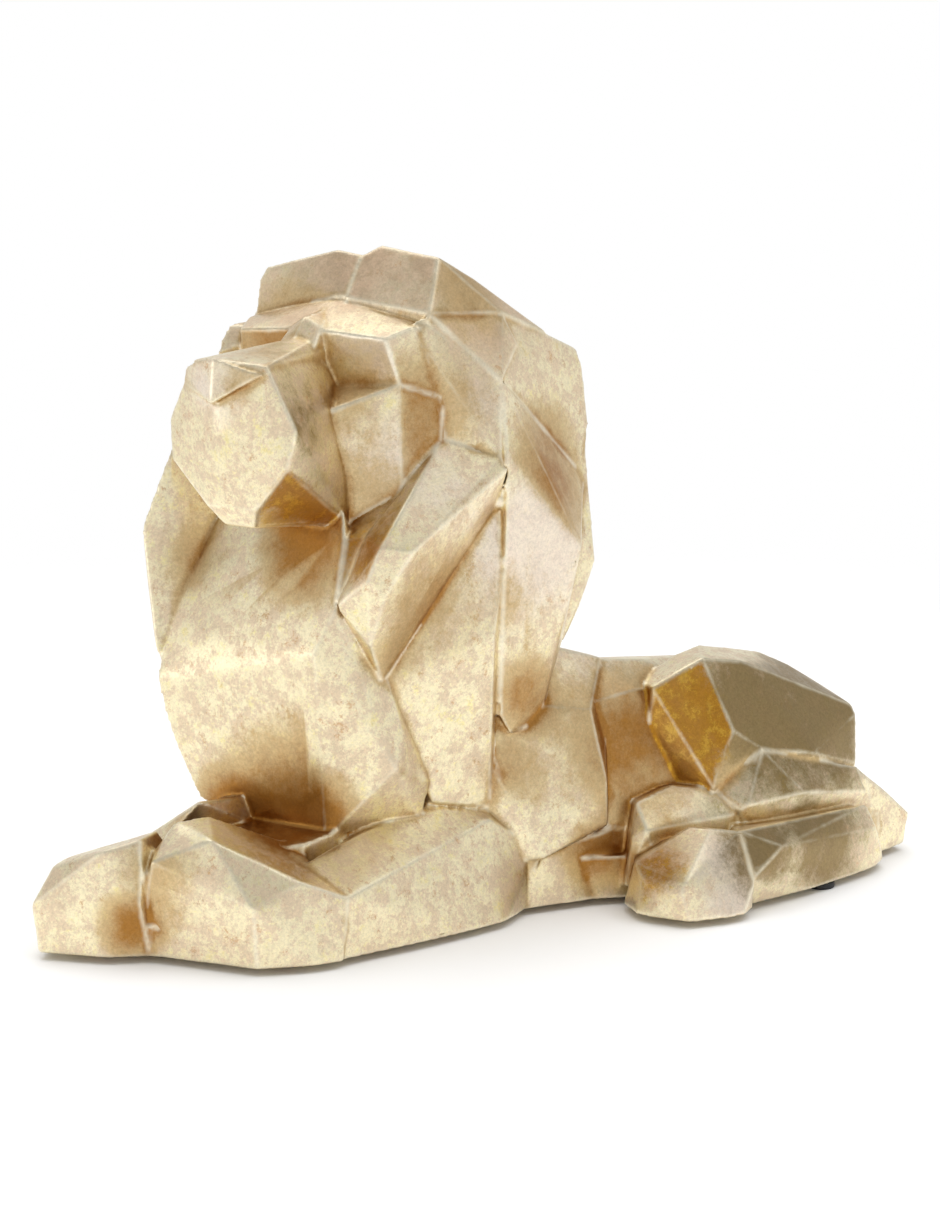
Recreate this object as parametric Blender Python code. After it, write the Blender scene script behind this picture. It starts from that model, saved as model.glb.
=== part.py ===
"""Lion figurine: a low-poly lion lying down, cast in one piece, on four rubber pads. Metres, +Z up.

The lion faces -Y and its left side is +X. Its flat underside stands on the pads, whose lower faces are at
z = 0. Every block of the carving is the convex body spanned by its corners, and the casting is the union of
the blocks. Corners are given as (left, back, up) in 400ths of the lion's length, in one of three frames: the
torso's, the forebody's, which turns to the lion's left at the shoulders, and the head's, which turns further.
"""

import math

import bmesh
import bpy
from mathutils import Matrix, Vector

LENGTH = 0.400
CARVED = LENGTH / 400

FOREBODY_TURN = math.radians(15)
HEAD_TURN = math.radians(22)
SHOULDERS = (0, -54)
NECK = (-6, -56)
CENTRE = (0.6, 5.3)

PAD_DIAMETER = 0.012
PAD_THICKNESS = 0.003
PAD_GAP = 0.0003
PAD_PLACES = {
    "pad_paw_left": (46, -88),
    "pad_paw_right": (0, -150),
    "pad_foot_left": (66, 135),
    "pad_foot_right": (-46, 130),
}

GOLD = (0.80, 0.62, 0.33)
RUBBER = (0.02, 0.02, 0.02)


def turned(turn, place):
    """A frame turned to the lion's left about a place given in the torso's frame."""
    left, back = place
    return Matrix.Translation((left - CENTRE[0], back - CENTRE[1], 0)) @ Matrix.Rotation(turn, 4, "Z")


TORSO = turned(0, (0, 0))
LEGS = turned(FOREBODY_TURN, SHOULDERS)
MANE = turned(FOREBODY_TURN, NECK)
HEAD = turned(HEAD_TURN, NECK)


def clear_scene():
    for obj in list(bpy.data.objects):
        bpy.data.objects.remove(obj)


def material(name, colour, roughness, metallic):
    made = bpy.data.materials.new(name)
    made.use_nodes = True
    shader = made.node_tree.nodes["Principled BSDF"]
    shader.inputs["Base Color"].default_value = (*colour, 1)
    shader.inputs["Roughness"].default_value = roughness
    shader.inputs["Metallic"].default_value = metallic
    return made


def opposite(corners):
    return [(-left, back, up) for left, back, up in corners]


def block(name, frame, corners):
    """The convex body spanned by the corners, as a hidden helper."""
    mesh = bmesh.new()
    for corner in corners:
        mesh.verts.new((frame @ Vector(corner)) * CARVED + Vector((0, 0, PAD_THICKNESS)))
    hull = bmesh.ops.convex_hull(mesh, input=mesh.verts)
    inside = set(hull["geom_interior"] + hull["geom_unused"])
    spare = [vertex for vertex in mesh.verts if vertex in inside]
    bmesh.ops.delete(mesh, geom=spare, context="VERTS")
    bmesh.ops.recalc_face_normals(mesh, faces=mesh.faces)
    data = bpy.data.meshes.new(name)
    mesh.to_mesh(data)
    mesh.free()
    made = bpy.data.objects.new(name, data)
    made.hide_render = True
    made.display_type = "WIRE"
    return made


def pair(name, frame, corners):
    """The same block on the lion's left and right."""
    return [block(name + "_left", frame, corners), block(name + "_right", frame, opposite(corners))]


def whole(name, frame, corners, middle=()):
    """One block with the same corners left and right, and others in the middle plane or on one side."""
    return [block(name, frame, corners + opposite(corners) + list(middle))]


def torso():
    ribs = [(38, 9, 74), (36, 17, 82), (38, 37, 79), (45, 41, 49), (46, 41, 31), (46, 10, 21), (14, 0, 112)]
    ribs += [(33, -20, 80), (33, -20, 20)]
    waist = [(35, 38, 81), (33, 63, 84), (42, 82, 42), (43, 50, 28), (42, 43, 28), (36, 67, 70)]
    waist += [(26, 110, 80), (34, 110, 26)]
    belly = [(43, 0, -4), (45, 34, -4), (41, 12, 20), (42, 30, 25), (38, 50, -4), (32, 110, -4)]
    belly += [(32, 110, 30)]
    shoulder = [(36, -14, 44), (36, -13, 74), (37, 8, 73), (44, 9, 20), (36, 0, -4), (30, -30, 90)]
    shoulder += [(20, -40, 30)]
    made = whole("ribs", TORSO, ribs, [(23, 36, 99), (23, 51, 97), (-14, 36, 92), (0, 57, 92)])
    spine = [(0, 50, 93), (0, 66, 91), (0, 88, 89), (0, 118, 88)]
    made += whole("waist", TORSO, waist, spine + [(22, 43, 97), (22, 72, 94), (-14, 60, 88), (-14, 85, 86)])
    made += whole("belly", TORSO, belly)
    flank = [(42, 2, 22), (43, 38, 27), (42, 60, 32), (43, 2, -4), (44, 48, -4), (42, 106, -4)]
    flank += [(40, 106, 30), (20, 2, 22), (20, 90, 40)]
    withers = [(33, -14, 84), (33, 9, 84), (31, -12, 104), (31, 7, 104)]
    made += whole("shoulder", TORSO, shoulder) + whole("flank", TORSO, flank)
    return made + whole("withers", TORSO, withers)


def hindquarters():
    haunch = [(25, 69, 86), (38, 67, 85), (25, 87, 95), (25, 99, 98), (46, 87, 97), (45, 106, 94)]
    haunch += [(22, 115, 95), (20, 134, 91), (22, 147, 85), (25, 169, 71), (38, 171, 67), (40, 172, 63)]
    haunch += [(46, 168, 43), (57, 137, 53), (58, 110, 58), (56, 96, 67), (56, 86, 44), (42, 81, 42)]
    haunch += [(36, 67, 69), (10, 80, 60), (10, 165, 20), (42, 160, 10), (44, 90, 10)]
    calf = [(59, 109, 58), (66, 97, 37), (54, 88, 43), (64, 94, 34), (67, 106, 38), (60, 136, 40)]
    calf += [(66, 126, 39), (52, 164, 43), (54, 168, 32), (40, 100, 5), (40, 165, 5), (60, 110, 15)]
    calf += [(40, 120, 50)]
    rump = [(40, 168, 43), (43, 176, 35), (38, 193, 24), (36, 205.3, 14), (34, 204, -4), (42, 186, -4)]
    rump += [(30, 120, -4), (20, 120, 50)]
    hip = [(-22, 84, 82), (-30, 100, 80), (-46, 92, 58), (-52, 112, 40), (-54, 106, -4), (-50, 168, 36)]
    hip += [(-30, 172, 52), (-46, 178, -4), (-30, 60, 40), (-44, 66, -4), (0, 120, 89), (0, 168, 64)]
    made = [block("haunch", TORSO, haunch), block("hip", TORSO, hip), block("calf", TORSO, calf)]
    return made + whole("rump", TORSO, rump, [(0, 190, 36), (0, 205, 20), (0, 205, -4)])


def hind_foot():
    knee = [(48, 53, 40), (47, 71, 45), (54, 88, 43), (62, 95, 33), (58, 78, 36), (58, 52, 30)]
    knee += [(52, 48, 26), (50, 46, 5), (60, 60, 5), (60, 95, 5), (30, 60, 38), (30, 90, 40)]
    paw = [(77, 71, 33), (70, 65, 33), (80, 83, 31), (90, 84, 11), (90, 50, 16), (72, 40, 15), (66, 41, 20)]
    paw += [(90, 48, 12), (82, 42, 4), (72, 38, -4), (55, 42, -4), (94, 51, -4), (97, 72, -4), (88, 84, -4)]
    paw += [(50, 84, 20), (50, 52, 18)]
    heel = [(80, 83, 31), (66, 115, 28), (56, 166, 27), (60, 169, 17), (84, 102, 23), (89, 83, 12)]
    heel += [(58, 174, 5), (64, 162, -4), (72, 136, -4), (81, 89, -4), (48, 182, -4), (45, 100, 25)]
    heel += [(45, 165, 10), (40, 90, -4), (40, 182, -4)]
    return [block("knee", TORSO, knee), block("hind_paw", TORSO, paw), block("heel", TORSO, heel)]


def tail():
    """The tail lies along the lion's right side, from the rump to the tuft beside the belly."""
    run = [(-12, 192, 8, 24), (-40, 185, 9, 24), (-56, 164, 8, 22), (-62, 130, 8, 20), (-61, 98, 8, 20)]
    tuft = [(-61, 104, 7, 18), (-63, 74, 13, 27), (-56, 42, 4, 13)]
    made = []
    for name, stations in (("tail", run), ("tuft", tuft)):
        rings = []
        for step, (left, back, half, height) in enumerate(stations):
            before = stations[max(step - 1, 0)]
            after = stations[min(step + 1, len(stations) - 1)]
            across = Vector((after[1] - before[1], before[0] - after[0])).normalized() * half
            profile = [(-1, -4), (-1, 0.6 * height), (-0.35, height), (0.35, height), (1, 0.6 * height)]
            profile += [(1, -4)]
            rings.append([(left + side * across.x, back + side * across.y, up) for side, up in profile])
        for step, (ring, following) in enumerate(zip(rings, rings[1:])):
            overlap = (Vector(following[0]) - Vector(ring[0])).normalized()
            end = [Vector(corner) + overlap for corner in following]
            made.append(block(f"{name}_{step}", TORSO, ring + end))
    return made


def underside():
    """Fills the flat underside between the legs."""
    chest = [(-46, -108), (-8, -112), (4, -100), (40, -84), (50, 40), (-50, 38)]
    loins = [(-42, 20), (40, 20), (34, 60), (52, 60), (50, 84), (42, 184), (-42, 189), (-57, 164)]
    loins += [(-59, 100)]
    made = []
    for name, frame, outline, height in (("chest_floor", LEGS, chest, 12), ("loin_floor", TORSO, loins, 18)):
        made.append(block(name, frame, [(left, back, up) for left, back in outline for up in (-4, height)]))
    return made


def forelegs():
    far_paw = [(-34, -134, -4), (-36, -136, 19), (-34, -127, 33), (-36, -120, 35), (-12, -120, 42)]
    far_paw += [(-11, -121, 21), (-11, -121, -4), (-1, -109, 34), (0, -111, 22), (0, -106, -4)]
    far_paw += [(-6, -112, 43), (-4, -107, 46), (-10, -94, 46), (-50, -109, 30), (-52, -114, -4)]
    far_paw += [(-32, -92, 35), (-52, -60, -4), (-10, -60, -4)]
    near_paw = [(0, -106, -4), (22, -95, -4), (43, -89, -4), (43, -91, 24), (56, -69, -4), (59, -59, -4)]
    near_paw += [(10, -102, 41), (23, -94, 48), (48, -71, 32), (56, -54, 24), (-1, -107, 19), (2, -107, 38)]
    near_paw += [(3, -94, 48), (4, -80, 52), (-4, -100, 41), (-3, -91, 50), (-3, -106, 28)]
    near_paw += [(0, -60, -4), (20, -50, 38), (36, -58, 34)]
    forearm = [(56, -62, -4), (63, -6, -4), (65, 22, -4), (55, 48, -4), (56, -54, 24), (52, 28, 40)]
    forearm += [(54, 50, 25), (36, -60, 34), (36, -29, 41), (38, 6, 47), (45, 33, 42), (20, -60, -4)]
    forearm += [(20, 48, -4), (20, 30, 50)]
    far_arm = [(-50, -84, 26), (-52, -100, -4), (-54, 40, -4), (-50, 40, 24), (-40, -79, 34)]
    far_arm += [(-40, -69, 36), (-40, -20, 38), (-26, -60, 49), (-12, -71, 53), (-20, 30, 44)]
    far_arm += [(-10, 40, -4)]
    made = [block("paw_right", LEGS, far_paw), block("paw_left", LEGS, near_paw)]
    made += [block("forearm_right", LEGS, far_arm), block("forearm_left", LEGS, forearm)]
    breast = [(20, -64, 38), (28, -50, 40), (20, -72, -4), (30, 0, 48), (30, 0, -4)]
    return made + whole("breast", LEGS, breast)


def bib():
    corners = [(32, -43, 114), (-31, -50, 111), (38, -37, 131), (34, -28, 157), (-47, -29, 155)]
    corners += [(30, -25, 168), (-30, -25, 168), (-31, -52, 98), (46, -31, 88), (54, -20, 68)]
    corners += [(31, -37, 38), (38, -24, 42), (-49, -56, 95), (-45, -55, 80), (-40, -53, 67)]
    corners += [(-34, -47, 46), (-50, -45, 126), (51, -14, 83), (46, -21, 101), (50, 2, 58), (45, 2, 41)]
    corners += [(-26, -45, 43), (0, 20, 60), (0, 0, 160)]
    return [block("bib", MANE, corners)]


def throat():
    corners = [(26, -18, 162), (41, -24, 159), (39, -37, 133), (45, -8, 173), (33, -27, 157)]
    corners += [(20, 0, 150), (20, 0, 175), (30, -20, 140)]
    return [block("throat", MANE, corners)]


def mane():
    core = [(42, -10, 170), (50, 20, 222), (52, 72, 200), (54, 76, 140), (46, 70, 100), (40, 20, 50)]
    core += [(36, -20, 60), (34, 60, 240), (30, 98, 190), (30, 102, 140), (26, 84, 98)]
    made = whole("mane_core", MANE, core, [(0, 80, 238), (0, 105, 165), (0, 92, 98)])
    far_cheek = [(-57, -40, 186), (-64, -50, 155), (-64, -48, 140), (-58, -49, 124), (-52, -54, 106)]
    far_cheek += [(-47, -52, 96), (-47, -29, 155), (-48, -42, 138), (-46, -10, 190), (-68, 10, 180)]
    far_cheek += [(-62, 20, 110), (-40, 0, 100), (-30, 0, 180), (-30, 14, 184)]
    made += [block("mane_side_right", MANE, far_cheek)]
    rim = [(46, 95, 194), (59, 89, 139), (54, 85, 120), (51, 80, 112), (54, 75, 106), (30, 70, 200)]
    rim += [(51, 41, 210), (49, 91, 169), (56, 81, 151), (30, 70, 110), (20, 90, 190), (20, 94, 130)]
    made += pair("rim", MANE, rim)
    lock_r = [(65, 27, 188), (67, 29, 183), (64, -20, 155), (58, -29, 138), (54, -35, 144), (40, -38, 133)]
    lock_r += [(50, -30, 117), (46, -20, 101), (57, 33, 166), (57, -31, 157), (45, -15, 169), (46, -9, 173)]
    lock_r += [(48, 11, 195), (42, -25, 159), (40, -10, 150), (40, 20, 150)]
    made += pair("lock_cheek", MANE, lock_r)
    lock_u = [(46, -19, 100), (61, 28, 116), (58, 40, 167), (57, 34, 165), (53, 33, 43), (48, 6, 49)]
    lock_u += [(48, 4, 58), (58, 34, 170), (45, -20, 104), (30, 10, 45), (30, 30, 150), (30, 0, 100)]
    made += pair("lock_shoulder", MANE, lock_u)
    lock_z = [(60, 33, 217), (65, 31, 188), (61, 36, 168), (61, 42, 117), (69, 70, 148), (66, 70, 142)]
    lock_z += [(57, 71, 106), (58, 57, 77), (58, 53, 76), (58, 40, 73), (57, 35, 81), (40, 50, 80)]
    lock_z += [(50, 91, 173), (40, 60, 200)]
    made += pair("lock_rear", MANE, lock_z)
    groove = [(51, 30, 186), (54, 44, 186), (51, 31, 120), (53, 49, 118), (47, 32, 45), (48, 48, 70)]
    groove += [(40, 25, 186), (40, 45, 50)]
    made += pair("lock_groove", MANE, groove)
    return made


def crest():
    far = [(-41, -3, 239), (-43, 2, 254), (-40, 3, 259), (-5, 6, 267), (8, -2, 249), (-44, 50, 250)]
    far += [(0, 60, 255), (7, 9, 265), (2, -3, 249), (-40, 40, 230), (0, 40, 230)]
    near = [(7, -3, 249), (30, 2, 246), (44, 4, 244), (6, 8, 265), (12, 13, 269), (38, 17, 265)]
    near += [(43, 33, 256), (55, 66, 233), (54, 37, 243), (0, 60, 258), (0, 30, 230), (44, 32, 221)]
    near += [(7, -1, 238), (44, 6, 232)]
    face = [(41, -2, 241), (44, 4, 243), (45, 1, 240), (68, 19, 187), (50, 6, 195), (51, 6, 211)]
    face += [(44, -2, 234), (63, 25, 217), (67, 23, 183), (40, 20, 230), (40, 30, 190)]
    ear = [(44, 5, 243), (54, 38, 242), (58, 43, 230), (64, 25, 217), (40, 30, 225), (40, 50, 225)]
    outer = [(53, 39, 242), (55, 67, 232), (54, 88, 225), (57, 88, 218), (59, 90, 194), (61, 84, 173)]
    outer += [(62, 27, 217), (30, 60, 240), (30, 70, 180)]
    made = [block("crest_right", HEAD, far), block("crest_left", HEAD, near)]
    made += pair("lock_face", HEAD, face) + pair("lock_ear", HEAD, ear)
    return made + pair("lock_outer", HEAD, outer)


def face():
    brow = [(38, -16, 235), (8, -19, 237), (43, -5, 239), (50, 6, 211), (41, -11, 217), (12, -16, 216)]
    brow += [(45, 30, 235), (45, 30, 203)]
    cheek = [(18, -29, 206), (41, -11, 210), (41, -11, 217), (12, -16, 216), (42, -11, 175), (24, -22, 162)]
    cheek += [(50, 5, 211), (50, 4, 195), (40, 40, 165), (40, 40, 212)]
    muzzle = [(33, -63, 203), (30, -65, 188), (13, -64, 171), (8, -59, 163), (24, -22, 162), (18, -29, 206)]
    muzzle += [(10, -28, 229), (20, -5, 170), (10, -5, 215)]
    muzzle_top = [(20, -65, 227), (0, -70, 229), (-12, -69, 228), (-21, -65, 222), (0, -71, 200)]
    nose = [(20, -67, 224), (0, -73, 230), (-12, -70, 228), (-23, -64, 224), (-22, -66, 219), (0, -75, 212)]
    nose += [(0, -55, 215)]
    bridge = [(20, -64, 227), (10.5, -27, 230), (6, -5, 230), (6, -5, 215), (15, -40, 205)]
    glabella = [(10, -26, 230), (8, -18, 236), (8, -19, 238), (7, -5, 236), (7, -5, 215), (9, -22, 222)]
    temple = [(-46, -14, 236), (-46, -18, 231), (-46, -21, 225), (-44, -2, 237), (-46, -8, 237)]
    temple += [(-30, 0, 235), (-34, 0, 215), (-48, 6, 215)]
    skull = [(36, 0, 232), (36, 0, 185), (42, 50, 236), (36, 45, 185), (20, -8, 228), (20, -8, 190)]
    made = whole("brow", HEAD, brow, [(0, -1, 249), (0, 40, 250)]) + whole("cheek", HEAD, cheek)
    made += whole("skull", HEAD, skull)
    made += whole("muzzle", HEAD, muzzle, muzzle_top)
    made += whole("bridge", HEAD, bridge, [(0, -68, 229), (0, -26, 234), (0, -5, 236)])
    made += whole("glabella", HEAD, glabella, [(0, -27, 233), (0, -20, 242), (0, -4, 245)])
    return made + [block("nose", HEAD, nose), block("temple_right", HEAD, temple)]


def union(name, blocks, surface):
    """All the blocks as one closed body. The exact solver leaves open edges where so many blocks meet."""
    body = bpy.data.objects.new(name, blocks[0].data)
    bpy.context.scene.collection.objects.link(body)
    for helper in blocks[1:]:
        bpy.context.scene.collection.objects.link(helper)
        join = body.modifiers.new(helper.name, "BOOLEAN")
        join.operation = "UNION"
        join.solver = "MANIFOLD"
        join.object = helper
    body.data.materials.append(surface)
    return body


def cut_flat(body):
    """Cuts the casting off flat at the pads' upper faces."""
    side = 2 * LENGTH
    mesh = bpy.data.meshes.new("floor_cutter")
    shape = bmesh.new()
    lift = Matrix.Translation((0, 0, PAD_THICKNESS - side / 2))
    bmesh.ops.create_cube(shape, size=side, matrix=lift)
    shape.to_mesh(mesh)
    shape.free()
    cutter = bpy.data.objects.new("floor_cutter", mesh)
    bpy.context.scene.collection.objects.link(cutter)
    cutter.hide_render = True
    cutter.display_type = "WIRE"
    cut = body.modifiers.new("underside", "BOOLEAN")
    cut.operation = "DIFFERENCE"
    cut.solver = "MANIFOLD"
    cut.object = cutter


def pads(surface):
    for name, (left, back) in PAD_PLACES.items():
        mesh = bpy.data.meshes.new(name)
        shape = bmesh.new()
        height = PAD_THICKNESS - PAD_GAP
        radius = PAD_DIAMETER / 2
        bmesh.ops.create_cone(shape, cap_ends=True, segments=24, radius1=radius, radius2=radius, depth=height)
        shape.to_mesh(mesh)
        shape.free()
        pad = bpy.data.objects.new(name, mesh)
        bpy.context.scene.collection.objects.link(pad)
        pad.location = (TORSO @ Vector((left, back, 0))) * CARVED + Vector((0, 0, height / 2))
        pad.data.materials.append(surface)


def main():
    clear_scene()
    gold = material("gold_leaf", GOLD, 0.35, 1.0)
    rubber = material("rubber", RUBBER, 0.8, 0.0)
    sections = (torso, hindquarters, hind_foot, tail, underside, forelegs, bib, throat, mane, crest, face)
    blocks = [made for section in sections for made in section()]
    casting = union("lion_casting", blocks, gold)
    cut_flat(casting)
    pads(rubber)


main()
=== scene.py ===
"""The looks of the lion figurine: a gold-leafed casting with softly rounded facets, on four rubber pads.

Metres, +Z up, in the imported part's own frame. The lion faces -Y and its left side is +X.
"""

import math

import bmesh
import bpy
import numpy as np
from mathutils import Matrix, Vector, noise
from mathutils.bvhtree import BVHTree


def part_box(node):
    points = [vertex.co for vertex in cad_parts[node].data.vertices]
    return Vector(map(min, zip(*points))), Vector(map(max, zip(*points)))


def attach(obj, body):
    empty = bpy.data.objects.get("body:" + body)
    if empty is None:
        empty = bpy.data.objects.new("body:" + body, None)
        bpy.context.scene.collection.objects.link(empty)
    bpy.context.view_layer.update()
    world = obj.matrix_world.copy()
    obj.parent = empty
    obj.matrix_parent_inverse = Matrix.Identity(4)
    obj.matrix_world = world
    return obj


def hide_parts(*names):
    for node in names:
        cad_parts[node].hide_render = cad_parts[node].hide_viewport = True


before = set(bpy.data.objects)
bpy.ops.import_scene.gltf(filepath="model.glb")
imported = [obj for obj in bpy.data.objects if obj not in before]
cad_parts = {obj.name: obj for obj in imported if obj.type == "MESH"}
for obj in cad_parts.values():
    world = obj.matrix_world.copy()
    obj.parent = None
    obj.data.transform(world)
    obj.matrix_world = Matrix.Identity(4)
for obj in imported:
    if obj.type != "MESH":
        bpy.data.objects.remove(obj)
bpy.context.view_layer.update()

# The photograph's camera: the first two in pixels of the 940 x 1215 image, the sensor in millimetres.
PHOTO_HEIGHT = 1215
FOCAL_LENGTH = 3000
SENSOR = 36
CAMERA_PLACE = (1.0580, -0.6149, 0.3374)
CAMERA_AIM = (0.0740, -0.0467, 0.1370)
FAR_CLIP = 100

# The floor fades out between two shares of its radius. The tent dims from its sides to its top, between two
# heights of the direction that is looked in.
FLOOR_RADIUS = 1.2
FLOOR_CORNERS = 96
FLOOR_FADE = (0.22, 0.8)
FLOOR_WHITE = (0.95, 0.95, 0.95)
FLOOR_ROUGHNESS = 0.9
TENT_SIDES = 0.90
TENT_TOP = 0.56
TENT_DIMMING = (0.05, 0.60)
TENT_WHITE = (1, 1, 1, 1)

# Each softbox: its name, place, size and watts, and whether the gold reflects it.
SOFTBOXES = [
    ("key", (-0.65, -2.2, 0.28), (1.4, 0.8), 2.5, True),
    ("over", (-0.9, 0.1, 1.7), (1.8, 1.4), 6, True),
    ("back", (0.6, 0.6, 1.5), (1.0, 1.0), 1.6, True),
    ("overhead", (0, 0, 2.0), (2.5, 2.5), 32, False),
]
LIGHTS_AIM = (0, 0, 0.1)

# The skin: a remesh of the casting, smoothed a little, then thinned.
CASTING = "lion_casting"
VOXEL = 0.0009
ROUNDING = 0.5
ROUNDING_STEPS = 3
SKIN_TRIANGLES = 190_000
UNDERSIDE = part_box(CASTING)[0].z
UNDERSIDE_REACH = 0.0003
NOTCH = (0.0405, -0.0160, 0.1725)
NOTCH_FILL = 0.004
NOTCH_FINENESS = 3
WELD = 1e-6

# Edges that the colours follow, by how much they bend, and the reach of their colours.
SHARP_RIDGE = math.radians(16)
SHARP_CREASE = math.radians(12)
FULL_RIDGE = math.radians(50)
WEAK_RIDGE = 0.0010
EDGE_REACH = 0.030
SAME_SIDE = 0.25

# Edges that stay crisp. Away from them, the skin is softened over several millimetres.
STRONG_RIDGE = math.radians(26)
STRONG_CREASE = math.radians(18)
SOFT_START = 0.002
SOFT_FULL = 0.008
SOFT_PASSES = 50

# Hollows are found with rays that start a little off the skin.
HOLLOW_REACH = 0.040
HOLLOW_RAYS = 20
HOLLOW_PASSES = 4
FULL_HOLLOW = 0.45
RAY_LIFT = 0.0015
STEEP = 0.9
GOLDEN_ANGLE = math.pi * (3 - math.sqrt(5))

# A mark is at full strength within this share of its reach, and on faces that look nearly its way.
MARK_CORE = 0.25
MARK_FACING = 0.55
MARK_TURN = 0.25

# The waviness of the faces.
UNEVEN_DEPTH = 0.00018
UNEVEN_SIZE = 0.016

# The pads' profile, as shares of their height and radius, and the steps of its arc and of a full turn.
PAD_EDGE = 0.3
PAD_TOP = 0.96
PAD_RIM = 0.1
PAD_DOME = 1.4
PAD_ARC_STEPS = 6
PAD_TURNS = 48


def link(name, data):
    made = bpy.data.objects.new(name, data)
    bpy.context.scene.collection.objects.link(made)
    return made


def skin_of(node, name):
    """The CAD casting as one mesh: strong edges rounded by a millimetre, weak ones by far more.

    A ball fills the bottom of the one notch that is too narrow to be a crease.
    """
    shape = bmesh.new()
    shape.from_mesh(node.data)
    bmesh.ops.create_icosphere(shape, subdivisions=NOTCH_FINENESS, radius=NOTCH_FILL,
                              matrix=Matrix.Translation(NOTCH))
    mesh = bpy.data.meshes.new(name)
    shape.to_mesh(mesh)
    shape.free()
    source = link(name, mesh)
    voxels = source.modifiers.new("voxels", "REMESH")
    voxels.mode = "VOXEL"
    voxels.voxel_size = VOXEL
    rounding = source.modifiers.new("rounding", "SMOOTH")
    rounding.factor = ROUNDING
    rounding.iterations = ROUNDING_STEPS
    graph = bpy.context.evaluated_depsgraph_get()
    mesh = bpy.data.meshes.new_from_object(source.evaluated_get(graph))
    soften(mesh)
    ratio = SKIN_TRIANGLES / (2 * len(mesh.polygons))
    source.modifiers.clear()
    source.data = mesh
    thinning = source.modifiers.new("thinning", "DECIMATE")
    thinning.ratio = min(1.0, ratio)
    graph = bpy.context.evaluated_depsgraph_get()
    source.data = bpy.data.meshes.new_from_object(source.evaluated_get(graph))
    source.modifiers.clear()
    source.data.name = name
    return source


def vertices_of(mesh):
    places = np.zeros(len(mesh.vertices) * 3)
    mesh.vertices.foreach_get("co", places)
    return places.reshape(-1, 3)


def normals_of(mesh):
    """The vertices' normals, upward where a vertex has none."""
    normals = np.zeros(len(mesh.vertices) * 3)
    mesh.vertex_normals.foreach_get("vector", normals)
    normals = normals.reshape(-1, 3)
    normals[np.linalg.norm(normals, axis=1) < 0.5] = (0, 0, 1)
    return normals


def blur_of(mesh):
    """A function that spreads a value over the surface, a little further with each pass."""
    pairs = np.zeros(len(mesh.edges) * 2, np.int64)
    mesh.edges.foreach_get("vertices", pairs)
    pairs = pairs.reshape(-1, 2)
    here = np.concatenate([pairs[:, 0], pairs[:, 1]])
    there = np.concatenate([pairs[:, 1], pairs[:, 0]])
    order = np.argsort(here, kind="stable")
    there = there[order]
    starts = np.searchsorted(here[order], np.arange(len(mesh.vertices)))
    count = np.bincount(here, minlength=len(mesh.vertices))

    def blur(values, passes):
        share = count[:, None] if values.ndim == 2 else count
        for _ in range(passes):
            values = 0.5 * values + 0.5 * np.add.reduceat(values[there], starts, axis=0) / share
        return values

    return blur


def store(mesh, name, values):
    attribute = mesh.attributes.new(name, "FLOAT", "POINT")
    attribute.data.foreach_set("value", np.clip(values, 0, 1).astype(np.float32))


def add_unevenness(mesh):
    """The slight waviness of a hand-finished casting, and a flat underside."""
    places = vertices_of(mesh)
    normals = normals_of(mesh)
    lift = np.array([noise.noise(Vector(place) / UNEVEN_SIZE) for place in places])
    places += normals * (lift * UNEVEN_DEPTH)[:, None]
    low = places[:, 2] < UNDERSIDE + UNDERSIDE_REACH
    places[low, 2] = UNDERSIDE
    mesh.vertices.foreach_set("co", places.ravel())
    mesh.update()


def edge_distances(places, normals, reach, least_ridge, least_crease):
    """Each place's distance to the casting's nearest ridge and nearest crease that bend enough, up to reach.

    A ridge that bends less than FULL_RIDGE counts as up to WEAK_RIDGE further away.
    """
    shape = bmesh.new()
    shape.from_mesh(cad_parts[CASTING].data)
    bmesh.ops.remove_doubles(shape, verts=shape.verts, dist=WELD)
    to_ridge = np.full(len(places), reach)
    to_crease = np.full(len(places), reach)
    order = np.argsort(places[:, 1], kind="stable")
    ordered = places[order, 1]
    for edge in shape.edges:
        bend = edge.calc_face_angle_signed(0)
        if -least_crease < bend < least_ridge:
            continue
        nearest = to_ridge if bend > 0 else to_crease
        weak = 0
        if bend > 0:
            weak = WEAK_RIDGE * min(1, max(0, (FULL_RIDGE - bend) / (FULL_RIDGE - SHARP_RIDGE)))
        facing = np.array((edge.link_faces[0].normal + edge.link_faces[1].normal).normalized())
        start, end = (np.array(vertex.co) for vertex in edge.verts)
        low = np.minimum(start, end) - reach
        high = np.maximum(start, end) + reach
        near = order[np.searchsorted(ordered, low[1]):np.searchsorted(ordered, high[1])]
        near = near[((places[near] > low) & (places[near] < high)).all(1)]
        near = near[normals[near] @ facing > SAME_SIDE]
        along = end - start
        offset = places[near] - start
        share = np.clip(offset @ along / (along @ along), 0, 1)
        distance = np.linalg.norm(offset - share[:, None] * along, axis=1)
        nearest[near] = np.minimum(nearest[near], distance + weak)
    shape.free()
    return to_ridge, to_crease


def soften(mesh):
    """Rounds the edges that bend little over several millimetres, away from the strong edges."""
    places = vertices_of(mesh)
    to_ridge, to_crease = edge_distances(places, normals_of(mesh), SOFT_FULL, STRONG_RIDGE, STRONG_CREASE)
    to_edge = np.minimum(to_ridge, to_crease)
    share = np.clip((to_edge - SOFT_START) / (SOFT_FULL - SOFT_START), 0, 1)
    share = (share * share * (3 - 2 * share))[:, None]
    places += share * (blur_of(mesh)(places, SOFT_PASSES) - places)
    mesh.vertices.foreach_set("co", places.ravel())
    mesh.update()


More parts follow.
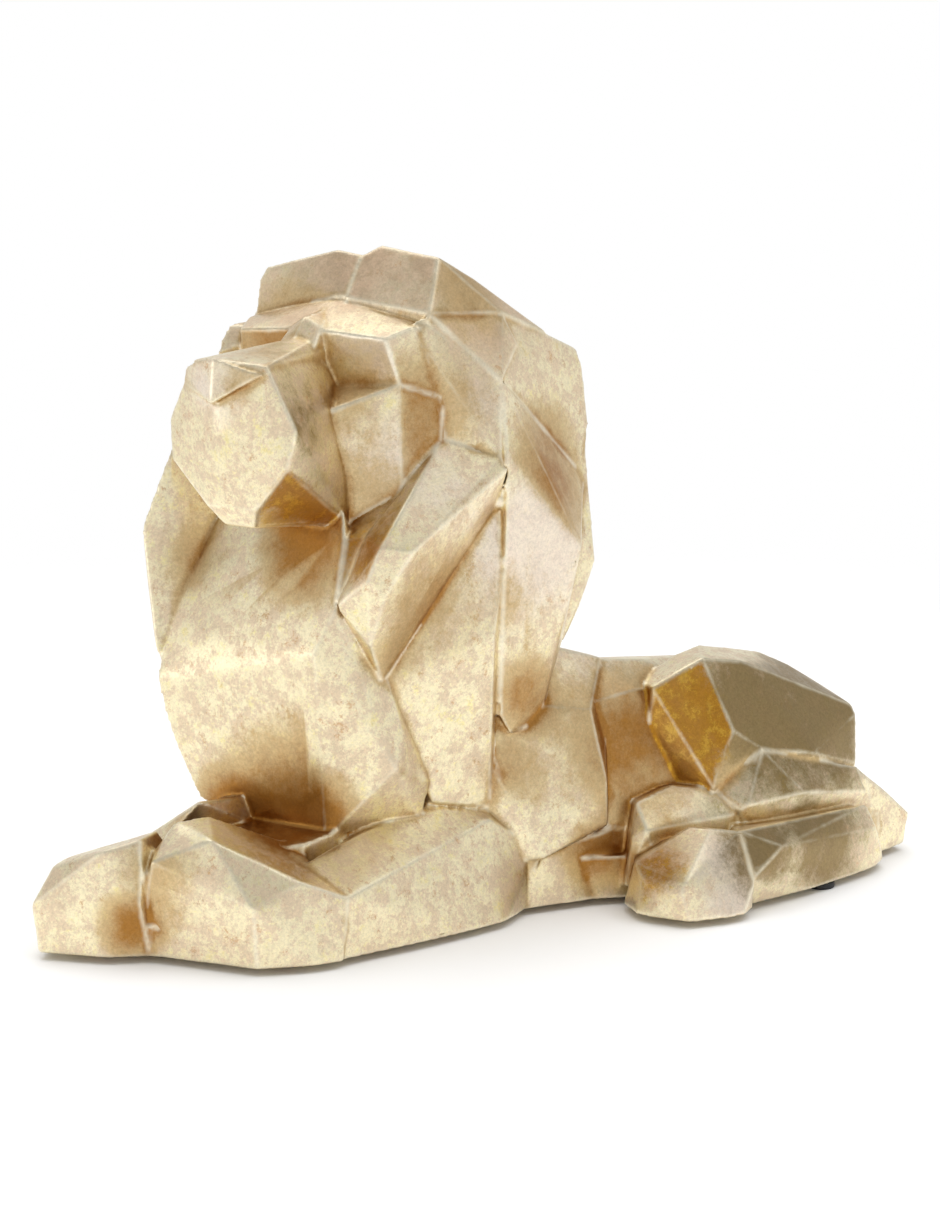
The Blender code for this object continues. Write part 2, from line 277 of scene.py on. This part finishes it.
def mark_edges(mesh):
    """Stores each vertex's distances to the nearest ridge and the nearest crease, as shares of EDGE_REACH."""
    found = edge_distances(vertices_of(mesh), normals_of(mesh), EDGE_REACH, SHARP_RIDGE, SHARP_CREASE)
    store(mesh, "to_ridge", found[0] / EDGE_REACH)
    store(mesh, "to_crease", found[1] / EDGE_REACH)


def mark_hollows(mesh):
    """Stores how much of what each vertex faces is the casting itself, within HOLLOW_REACH, as 0 to 1: the
    measure of the painted shade in the hollows.
    """
    places = vertices_of(mesh)
    normals = normals_of(mesh)
    shape = bmesh.new()
    shape.from_mesh(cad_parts[CASTING].data)
    tree = BVHTree.FromBMesh(shape)
    shape.free()
    turns = np.arange(HOLLOW_RAYS) * GOLDEN_ANGLE
    rise = np.sqrt(1 - (np.arange(HOLLOW_RAYS) + 0.5) / HOLLOW_RAYS)
    out = np.sqrt(1 - rise ** 2)
    rays = np.stack([out * np.cos(turns), out * np.sin(turns), rise], axis=1)
    side = np.cross(normals, np.where(np.abs(normals[:, 2:]) < STEEP, [[0, 0, 1.0]], [[1.0, 0, 0]]))
    side /= np.linalg.norm(side, axis=1)[:, None]
    other = np.cross(normals, side)
    starts = places + normals * RAY_LIFT
    blocked = np.zeros(len(places))
    for ray in rays:
        directions = side * ray[0] + other * ray[1] + normals * ray[2]
        for index, (start, direction) in enumerate(zip(starts.tolist(), directions.tolist())):
            distance = tree.ray_cast(start, direction, HOLLOW_REACH)[3]
            if distance is not None:
                blocked[index] += 1 - distance / HOLLOW_REACH
    store(mesh, "hollow", blur_of(mesh)(blocked / HOLLOW_RAYS / FULL_HOLLOW, HOLLOW_PASSES))


def mark_places(mesh, name, marks):
    """Stores a value that fades out round each marked place, on the faces that look the mark's way."""
    places = vertices_of(mesh)
    normals = normals_of(mesh)
    marked = np.zeros(len(places))
    for place, facing, reach, strength in marks:
        near = np.clip(1 + MARK_CORE - np.linalg.norm(places - place, axis=1) / reach, 0, 1)
        if facing:
            near *= np.clip((normals @ np.array(facing) - MARK_FACING) / MARK_TURN, 0, 1)
        marked = np.maximum(marked, strength * near)
    store(mesh, name, marked)


class Nodes:
    """Short calls for building a material's nodes."""

    def __init__(self, name):
        self.material = bpy.data.materials.new(name)
        self.material.use_nodes = True
        self.tree = self.material.node_tree
        self.shader = self.tree.nodes["Principled BSDF"]
        self.place = self.tree.nodes.new("ShaderNodeTexCoord").outputs["Object"]

    def feed(self, socket, value):
        if isinstance(value, bpy.types.NodeSocket):
            self.tree.links.new(value, socket)
        elif socket.type == "RGBA" and len(value) == 3:
            socket.default_value = (*value, 1)
        else:
            socket.default_value = value

    def noise(self, size, detail=4, roughness=0.55, distortion=0.0, place=None):
        """Noise whose lumps are about size across."""
        made = self.tree.nodes.new("ShaderNodeTexNoise")
        self.feed(made.inputs["Vector"], place or self.place)
        made.inputs["Scale"].default_value = 1 / size
        made.inputs["Detail"].default_value = detail
        made.inputs["Roughness"].default_value = roughness
        made.inputs["Distortion"].default_value = distortion
        return made.outputs["Fac"]

    def moved(self, offset):
        """The object's own coordinates from another origin, for noise that is independent of the rest."""
        made = self.tree.nodes.new("ShaderNodeMapping")
        self.feed(made.inputs["Vector"], self.place)
        made.inputs["Location"].default_value = offset
        return made.outputs["Vector"]

    def between(self, value, low, high, to_low=0.0, to_high=1.0):
        """Goes smoothly from to_low to to_high as the value goes from low to high."""
        made = self.tree.nodes.new("ShaderNodeMapRange")
        made.interpolation_type = "SMOOTHSTEP"
        self.feed(made.inputs["Value"], value)
        self.feed(made.inputs["From Min"], low)
        self.feed(made.inputs["From Max"], high)
        self.feed(made.inputs["To Min"], to_low)
        self.feed(made.inputs["To Max"], to_high)
        return made.outputs["Result"]

    def blend(self, share, first, second):
        """A colour between two others."""
        made = self.tree.nodes.new("ShaderNodeMix")
        made.data_type = "RGBA"
        self.feed(made.inputs["Factor"], share)
        self.feed(made.inputs["A"], first)
        self.feed(made.inputs["B"], second)
        return made.outputs["Result"]

    def dimmed(self, colour, share):
        """A colour times a share that varies over the surface."""
        made = self.tree.nodes.new("ShaderNodeVectorMath")
        made.operation = "SCALE"
        self.feed(made.inputs[0], colour)
        self.feed(made.inputs["Scale"], share)
        return made.outputs["Vector"]

    def total(self, *shares):
        """The sum of some values, each times its weight."""
        result = 0.0
        for value, weight in shares:
            made = self.tree.nodes.new("ShaderNodeMath")
            made.operation = "MULTIPLY_ADD"
            self.feed(made.inputs[0], value)
            self.feed(made.inputs[1], weight)
            self.feed(made.inputs[2], result)
            result = made.outputs[0]
        return result

    def attribute(self, name):
        made = self.tree.nodes.new("ShaderNodeAttribute")
        made.attribute_name = name
        return made.outputs["Fac"]

    def bump(self, height, distance):
        made = self.tree.nodes.new("ShaderNodeBump")
        made.inputs["Distance"].default_value = distance
        made.inputs["Strength"].default_value = 1.0
        self.feed(made.inputs["Height"], height)
        self.feed(self.shader.inputs["Normal"], made.outputs["Normal"])


# The leaf's colours: the leaf itself and the ground under it; a brown wash with painted shade over it for the
# creases and hollows; painted amber reflections, painted shade for faces that look away from the light,
# painted lilac light and a pinkish-brown for the tops; and the burnished ridges, which carry a painted
# highlight.
LEAF_PALE = (0.91, 0.81, 0.55)
LEAF_YELLOW = (0.91, 0.79, 0.37)
GROUND_PINK = (0.79, 0.64, 0.45)
GROUND_BROWN = (0.64, 0.40, 0.21)
# Painted shade: the dark olive of faces that look away from the light.
SIDE_SHADE = (0.26, 0.175, 0.065)
# Painted reflection: the deep orange of gold that mirrors the gold beside it, with yellow flakes.
REFLECTED_AMBER = (0.42, 0.19, 0.015)
REFLECTED_AMBER_FLAKE = (0.75, 0.47, 0.06)
# A pinkish-brown for the tops of the head and the hind foot.
TOPS_PINK = (0.68, 0.48, 0.32)
# A brown wash with painted shade over it: tan, then deep brown, towards the creases and hollows.
TAN = (0.60, 0.43, 0.21)
WASH_AND_SHADE_BROWN = (0.37, 0.165, 0.03)
# Painted light: a pale lilac for faces that would otherwise mirror something dark.
LILAC_LIGHT = (0.90, 0.78, 0.66)
# Burnished ridges, painted lighter still as a highlight.
BURNISHED_HIGHLIGHT = (0.97, 0.90, 0.70)

# Metal and roughness, first of the leaf and then of the bare ground, and the depth of the leaf's flakes.
LEAF_METAL = (0.97, 0.86)
LEAF_ROUGHNESS = (0.29, 0.40)
LEAF_BUMP = 0.00004

# The sizes of the leaf's noises.
PATCHES = 0.014
RUBBING = 0.011
FLAKES = 0.0014
CRUMBS = 0.0011
TEARS = 0.009
WEAR = 0.008

# The leaf's layers: where each starts and ends on its noise or distance, and its share at either end. The
# distances to creases and ridges are in millimetres.
BARE_LAYER = (0.46, 0.53, 1.0, 0.0)
BROWN_LAYER = (0.56, 0.62, 0.0, 0.8)
YELLOW_LAYER = (0.38, 0.47, 0.9, 0.0)
PAINTED_LIGHT_LAYER = (0.25, 0.80, 0.0, 0.8)
TOPS_PINK_LAYER = (0.20, 0.75, 0.0, 0.8)
SIDE_SHADE_LAYER = (0.20, 0.85, 0.0, 0.92)
CREASE_LAYER = (3.5, 8.5, 1.0, 0.0)
TAN_LAYER = (0.62, 1.00, 0.0, 0.85)
WASH_AND_SHADE_LAYER = (0.90, 1.55, 0.0, 0.95)
AMBER_FLAKES_LAYER = (0.50, 0.58, 0.0, 0.5)
AMBER_SHADE_LAYER = (0.50, 0.62, 0.0, 0.6)
AMBER_REFLECTION_LAYER = (0.20, 0.75, 0.0, 0.9)
RIDGE_HIGHLIGHT_LAYER = (1.6, 4.3, 0.85, 0.0)
GRAIN_LAYER = (0.42, 0.72, 0.86, 1.08)
MILLIMETRES = 1000

DUST = 0.002
DUST_LAYER = (0.45, 0.75)
RUBBER_GRAIN = 0.0005
RUBBER_BLACK = (0.012, 0.012, 0.013)
RUBBER_DUST = (0.05, 0.047, 0.043)
RUBBER_ROUGHNESS = (0.55, 0.85)
RUBBER_BUMP = 0.00005

# Each mark: its place, the way the faces that it is on look (None for any way), its reach and its strength.
# Pools of painted shade over a brown wash, where shade falls under and between the parts, such as under the
# chin and at the foot of the chest.
SHADE_AND_WASH_POOLS = [
    ((0.017, -0.088, 0.154), (0.32, -0.89, 0.32), 0.026, 1.0),
    ((0.027, -0.100, 0.170), None, 0.012, 0.8),
    ((0.037, -0.048, 0.208), (0.86, 0.51, 0), 0.028, 0.75),
    ((0.037, -0.050, 0.190), (0.86, 0.51, 0), 0.028, 0.8),
    ((0.037, 0.049, 0.067), (0.99, -0.03, 0.14), 0.036, 0.9),
    ((0.037, 0.045, 0.050), (0.99, -0.03, 0.14), 0.024, 0.6),
    ((0.026, -0.095, 0.043), (0.36, -0.91, 0), 0.029, 1.4),
    ((0.000, -0.107, 0.041), (0.36, -0.91, 0), 0.029, 1.3),
    ((0.034, 0.005, 0.086), (0.83, -0.10, 0.55), 0.020, 0.8),
    ((0.040, -0.001, 0.092), (0.94, 0.29, -0.16), 0.020, 0.8),
    ((0.046, -0.064, 0.117), (0.88, 0.36, -0.31), 0.020, 0.5),
    ((0.046, -0.049, 0.136), (0.82, 0.45, -0.36), 0.030, 0.6),
    ((0.027, -0.169, 0.016), (0.84, -0.54, 0), 0.016, 1.0),
    ((0.032, -0.160, 0.038), (0.58, -0.81, 0), 0.020, 0.5),
    ((0.043, 0.031, 0.023), None, 0.018, 0.8),
    ((0.037, 0.013, 0.182), (0.55, 0.70, 0.46), 0.032, 0.9),
    ((0.058, 0.056, 0.032), None, 0.012, 0.4),
    ((0.025, -0.070, 0.215), None, 0.016, 0.4),
    ((-0.018, -0.086, 0.239), (0.29, -0.95, -0.12), 0.030, 0.75),
    ((0.027, -0.022, 0.255), (0.91, 0.09, 0.41), 0.026, 0.5),
    ((-0.041, -0.109, 0.145), None, 0.020, 0.5),
    ((0.055, 0.084, 0.054), None, 0.012, 0.4),
    ((0.019, -0.102, 0.044), (0, 0.2, 1), 0.030, 1.1),
    ((0.033, -0.113, 0.044), (0.27, 0.32, 0.91), 0.016, 0.8),
    ((0.030, -0.122, 0.223), None, 0.010, 0.4),
    ((0.042, -0.011, 0.132), (0.97, -0.20, -0.12), 0.018, 0.4),
    ((0.039, -0.006, 0.063), (0.98, -0.14, 0.15), 0.018, 0.6),
    ((0.041, 0.004, 0.056), None, 0.016, 0.4),
    ((0.060, -0.075, 0.052), (0.29, 0.2, 0.93), 0.022, 0.3),
    ((0.040, -0.037, 0.212), (0.83, -0.56, -0.08), 0.024, 0.45),
    ((0.030, -0.064, 0.182), (0.82, -0.57, -0.06), 0.020, 0.35),
    ((0.017, -0.106, 0.234), (0.16, -0.06, 0.99), 0.022, 0.35),
    ((0.045, 0.060, 0.050), (0.69, -0.18, 0.70), 0.012, 0.4),
]
# Painted reflections: deep amber on faces that mirror the gold beside them, such as the haunch's front, the
# low side of the muzzle and the hind paw.
AMBER_REFLECTION_SPOTS = [
    ((0.039, -0.100, 0.183), (0.60, -0.20, -0.78), 0.026, 0.9),
    ((0.031, -0.088, 0.174), (0.60, -0.20, -0.78), 0.020, 0.9),
    ((0.042, 0.068, 0.070), (0.50, -0.84, -0.20), 0.042, 1.4),
    ((0.046, 0.074, 0.082), (0.87, -0.45, 0.17), 0.018, 0.6),
    ((0.074, 0.040, 0.022), (0.40, -0.80, 0.40), 0.018, 0.6),
    ((0.051, -0.077, 0.159), (-0.05, -0.89, 0.45), 0.024, 0.7),
]
# A pinkish-brown over the tops of the head and on the top of the hind foot.
PINKISH_TOPS = [
    ((0.020, -0.020, 0.262), None, 0.040, 0.7),
    ((-0.010, -0.050, 0.262), None, 0.040, 0.7),
    ((0.010, 0.010, 0.262), None, 0.040, 0.7),
    ((-0.040, -0.070, 0.240), None, 0.030, 0.6),
    ((-0.010, -0.073, 0.246), None, 0.025, 0.6),
    ((0.033, -0.019, 0.240), None, 0.030, 0.6),
    ((0.069, 0.042, 0.025), (0.32, -0.49, 0.81), 0.018, 0.7),
]
# Painted shade: dark olive on the haunch's outer faces and on one face of the head, which look away from the
# light.
SHADED_SIDES = [
    ((0.041, -0.101, 0.208), (0.71, 0.54, 0.44), 0.030, 0.6),
    ((0.072, 0.127, 0.025), (0.85, 0.25, 0.44), 0.040, 0.9),
    ((0.083, 0.087, 0.028), (0.90, 0, 0.43), 0.030, 0.9),
    ((0.052, 0.102, 0.076), (0.93, 0.10, 0.35), 0.050, 1.0),
    ((0.046, 0.140, 0.071), (0.84, 0.28, 0.46), 0.046, 1.1),
    ((0.059, 0.128, 0.050), (0.82, 0.25, 0.52), 0.030, 0.7),
    ((0.062, 0.121, 0.033), None, 0.020, 0.6),
]
# Painted light: pale lilac spots on faces that would otherwise mirror something dark, such as the near brow
# and the top of the mane's front lock.
PAINTED_LIGHT_SPOTS = [
    ((0.026, -0.114, 0.232), (0.16, -0.06, 0.99), 0.030, 0.3),
    ((0.015, -0.125, 0.222), (0.2, -0.8, 0.6), 0.022, 0.7),
    ((0.036, -0.056, 0.187), (0.86, -0.50, 0.01), 0.030, 0.7),
    ((0.050, -0.040, 0.175), None, 0.026, 0.5),
    ((0.084, 0.068, 0.025), (0.90, 0.07, 0.42), 0.024, 0.7),
    ((0.092, 0.067, 0.010), (0.92, 0.06, 0.38), 0.022, 0.7),
    ((0.026, 0.044, 0.095), (0.75, 0.07, 0.65), 0.040, 0.5),
    ((0.053, 0.064, 0.041), (0.69, -0.18, 0.70), 0.020, 0.4),
    ((0.028, -0.064, 0.236), (0.48, -0.86, -0.18), 0.024, 0.9),
    ((0.044, 0.000, 0.152), (0.99, 0.08, -0.07), 0.040, 0.9),
    ((0.030, -0.066, 0.188), (0.82, -0.57, -0.06), 0.020, 0.2),
    ((0.043, -0.024, 0.213), (0.97, -0.07, 0.23), 0.018, 0.6),
]


def gold_leaf():
    """Flaked pale gold leaf over a pinkish ground, with a brown wash and painted shade in the hollows,
    painted reflections, painted shade and painted light in places, and burnished ridges with a painted
    highlight.
    """
    made = Nodes("gold_leaf")
    patches = made.noise(PATCHES, detail=3)
    pinkish_tops_and_rub_noise = made.noise(RUBBING, detail=3, place=made.moved((0.3, 0.7, 0.1)))
    flakes = made.noise(FLAKES, detail=4, roughness=0.7, distortion=0.8)
    crumbs = made.noise(CRUMBS, detail=4, roughness=0.75, place=made.moved((0.9, 0.2, 0.5)))
    torn = made.noise(TEARS, detail=9, roughness=0.86)
    worn = made.noise(WEAR, detail=9, roughness=0.88, place=made.moved((0.5, 0.2, 0.9)))
    bare = made.between(torn, *BARE_LAYER)
    brown = made.between(worn, *BROWN_LAYER)
    yellow = made.between(worn, *YELLOW_LAYER)
    colour = made.blend(yellow, LEAF_PALE, LEAF_YELLOW)
    colour = made.blend(bare, colour, GROUND_PINK)
    colour = made.blend(brown, colour, GROUND_BROWN)

    def ragged(name):
        """A mark's strength, torn up like the leaf."""
        mark = made.attribute(name)
        return made.total((mark, 1.0), (torn, 1.1), (worn, -1.1), (pinkish_tops_and_rub_noise, 0.4), (patches, -0.4))

    # Painted lilac light, a pinkish-brown on the tops, and painted shade on faces that look away from the
    # light, each torn up like the leaf.
    for name, layer, paint in (
            ("painted_light", PAINTED_LIGHT_LAYER, LILAC_LIGHT), ("pinkish_tops_and_rub_noise", TOPS_PINK_LAYER, TOPS_PINK),
            ("painted_side_shade", SIDE_SHADE_LAYER, SIDE_SHADE)):
        colour = made.blend(made.between(ragged(name), *layer), colour, paint)
    # A brown wash and painted shade: strongest in the hollows, near the creases and in the listed pools.
    to_crease = (made.attribute("to_crease"), EDGE_REACH * MILLIMETRES)
    in_crease = made.between(made.total(to_crease, (flakes, 2.0), (pinkish_tops_and_rub_noise, 7.0)), *CREASE_LAYER)
    wash_and_painted_shade = made.total((made.attribute("hollow"), 0.30), (in_crease, 0.45), (made.attribute("shade_and_wash"), 1.00))
    wash_and_painted_shade = made.total((wash_and_painted_shade, 1.0), (worn, 0.8), (pinkish_tops_and_rub_noise, 0.25))
    colour = made.blend(made.between(wash_and_painted_shade, *TAN_LAYER), colour, TAN)
    colour = made.blend(made.between(wash_and_painted_shade, *WASH_AND_SHADE_LAYER), colour, WASH_AND_SHADE_BROWN)
    # Painted reflection: deep amber, with yellow flakes and brown, where the gold mirrors the gold beside it.
    reflected_amber_colour = made.blend(made.between(torn, *AMBER_FLAKES_LAYER), REFLECTED_AMBER, REFLECTED_AMBER_FLAKE)
    reflected_amber_colour = made.blend(made.between(worn, *AMBER_SHADE_LAYER), reflected_amber_colour, WASH_AND_SHADE_BROWN)
    colour = made.blend(made.between(ragged("amber_reflection"), *AMBER_REFLECTION_LAYER), colour, reflected_amber_colour)
    # The ridges: burnished leaf with a painted highlight.
    to_ridge = (made.attribute("to_ridge"), EDGE_REACH * MILLIMETRES)
    ridge = made.total(to_ridge, (flakes, 1.2), (crumbs, 0.8), (patches, 2.5))
    colour = made.blend(made.between(ridge, *RIDGE_HIGHLIGHT_LAYER), colour, BURNISHED_HIGHLIGHT)
    grain = made.total((flakes, 0.55), (crumbs, 0.45), (pinkish_tops_and_rub_noise, 0.15))
    colour = made.dimmed(colour, made.between(grain, *GRAIN_LAYER))
    made.feed(made.shader.inputs["Base Color"], colour)
    made.feed(made.shader.inputs["Metallic"], made.between(bare, 0, 1, *LEAF_METAL))
    made.feed(made.shader.inputs["Roughness"], made.between(bare, 0, 1, *LEAF_ROUGHNESS))
    made.bump(made.total((flakes, 1.0), (crumbs, 0.6), (torn, 1.0)), LEAF_BUMP)
    return made.material


def rubber():
    """Matt black rubber with a faint moulded grain and dust."""
    made = Nodes("rubber")
    dust = made.between(made.noise(DUST, detail=5), *DUST_LAYER)
    made.feed(made.shader.inputs["Base Color"], made.blend(dust, RUBBER_BLACK, RUBBER_DUST))
    made.feed(made.shader.inputs["Roughness"], made.between(dust, 0, 1, *RUBBER_ROUGHNESS))
    made.bump(made.noise(RUBBER_GRAIN, detail=3), RUBBER_BUMP)
    return made.material


def pad(node, surface):
    """A stick-on bumper: a round rubber pad with rounded edges and a faint dome below."""
    low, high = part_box(node)
    radius = (high.x - low.x) / 2
    height = high.z - low.z
    edge = PAD_EDGE * height
    rise = PAD_DOME * edge
    profile = [(0, height), (PAD_TOP * radius, height), (radius, height - PAD_RIM * edge), (radius, rise)]
    for step in range(1, PAD_ARC_STEPS + 1):
        turn = math.radians(90 * step / PAD_ARC_STEPS)
        profile.append((radius - edge + edge * math.cos(turn), rise - rise * math.sin(turn)))
    profile.append((0, 0))
    shape = bmesh.new()
    ring = [shape.verts.new((out, 0, up)) for out, up in profile]
    line = [shape.edges.new(pair) for pair in zip(ring, ring[1:])]
    bmesh.ops.spin(shape, geom=ring + line, cent=(0, 0, 0), axis=(0, 0, 1), angle=math.tau, steps=PAD_TURNS)
    bmesh.ops.remove_doubles(shape, verts=shape.verts, dist=WELD)
    bmesh.ops.recalc_face_normals(shape, faces=shape.faces)
    mesh = bpy.data.meshes.new(node + "_rubber")
    shape.to_mesh(mesh)
    shape.free()
    mesh.transform(Matrix.Translation(((low.x + high.x) / 2, (low.y + high.y) / 2, low.z)))
    mesh.shade_smooth()
    mesh.materials.append(surface)
    made = link(node + "_rubber", mesh)
    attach(made, "root")
    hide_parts(node)


def lion(surface):
    skin = skin_of(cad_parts[CASTING], "gilded_lion")
    add_unevenness(skin.data)
    skin.data.shade_smooth()
    mark_edges(skin.data)
    mark_hollows(skin.data)
    # Where the leaf gets pools of painted shade over a brown wash, painted amber reflections, painted shade
    # on faces away from the light, a pinkish-brown on the tops, and painted lilac light.
    for name, marks in (
            ("shade_and_wash", SHADE_AND_WASH_POOLS), ("amber_reflection", AMBER_REFLECTION_SPOTS), ("painted_side_shade", SHADED_SIDES), ("pinkish_tops_and_rub_noise", PINKISH_TOPS),
            ("painted_light", PAINTED_LIGHT_SPOTS)):
        mark_places(skin.data, name, marks)
    skin.data.materials.clear()
    skin.data.materials.append(surface)
    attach(skin, "root")
    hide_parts(CASTING)


def floor():
    """A plain white floor that fades into the white background."""
    mesh = bpy.data.meshes.new("floor")
    shape = bmesh.new()
    bmesh.ops.create_circle(shape, cap_ends=True, segments=FLOOR_CORNERS, radius=FLOOR_RADIUS)
    shape.to_mesh(mesh)
    shape.free()
    made = link("floor", mesh)
    surface = Nodes("floor_paint")
    surface.feed(surface.shader.inputs["Base Color"], FLOOR_WHITE)
    surface.feed(surface.shader.inputs["Roughness"], FLOOR_ROUGHNESS)
    length = surface.tree.nodes.new("ShaderNodeVectorMath")
    length.operation = "LENGTH"
    surface.feed(length.inputs[0], surface.place)
    near, far = (share * FLOOR_RADIUS for share in FLOOR_FADE)
    fade = surface.between(length.outputs["Value"], near, far, 1.0, 0.0)
    surface.feed(surface.shader.inputs["Alpha"], fade)
    made.data.materials.append(surface.material)


def camera():
    data = bpy.data.cameras.new("camera")
    data.sensor_width = SENSOR
    data.lens = data.sensor_width * FOCAL_LENGTH / PHOTO_HEIGHT
    data.clip_end = FAR_CLIP
    made = link("camera", data)
    made.location = CAMERA_PLACE
    made.rotation_euler = (Vector(CAMERA_AIM) - Vector(CAMERA_PLACE)).to_track_quat("-Z", "Y").to_euler()
    bpy.context.scene.camera = made


def softbox(name, place, size, power, reflected):
    data = bpy.data.lights.new(name, "AREA")
    data.shape = "RECTANGLE"
    data.size, data.size_y = size
    data.energy = power
    made = link(name, data)
    made.location = place
    made.rotation_euler = (Vector(LIGHTS_AIM) - Vector(place)).to_track_quat("-Z", "Y").to_euler()
    made.visible_glossy = reflected


def studio():
    """A white tent: bright all round at the lion's height, dimmer above, with large softboxes round it."""
    world = bpy.data.worlds.new("studio")
    world.use_nodes = True
    bpy.context.scene.world = world
    nodes = world.node_tree.nodes
    links = world.node_tree.links
    place = nodes.new("ShaderNodeTexCoord").outputs["Generated"]
    split = nodes.new("ShaderNodeSeparateXYZ")
    links.new(place, split.inputs[0])
    dome = nodes.new("ShaderNodeMapRange")
    dome.interpolation_type = "SMOOTHSTEP"
    links.new(split.outputs["Z"], dome.inputs["Value"])
    dome.inputs["From Min"].default_value, dome.inputs["From Max"].default_value = TENT_DIMMING
    dome.inputs["To Min"].default_value = TENT_SIDES
    dome.inputs["To Max"].default_value = TENT_TOP
    seen = nodes.new("ShaderNodeMath")
    seen.operation = "MAXIMUM"
    links.new(nodes.new("ShaderNodeLightPath").outputs["Is Camera Ray"], seen.inputs[0])
    links.new(dome.outputs["Result"], seen.inputs[1])
    links.new(seen.outputs[0], nodes["Background"].inputs["Strength"])
    nodes["Background"].inputs["Color"].default_value = TENT_WHITE
    for box in SOFTBOXES:
        softbox(*box)


floor()
camera()
studio()
lion(gold_leaf())
black_rubber = rubber()
for node_name in sorted(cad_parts):
    if node_name != CASTING:
        pad(node_name, black_rubber)

bpy.context.scene.view_settings.view_transform = "Standard"
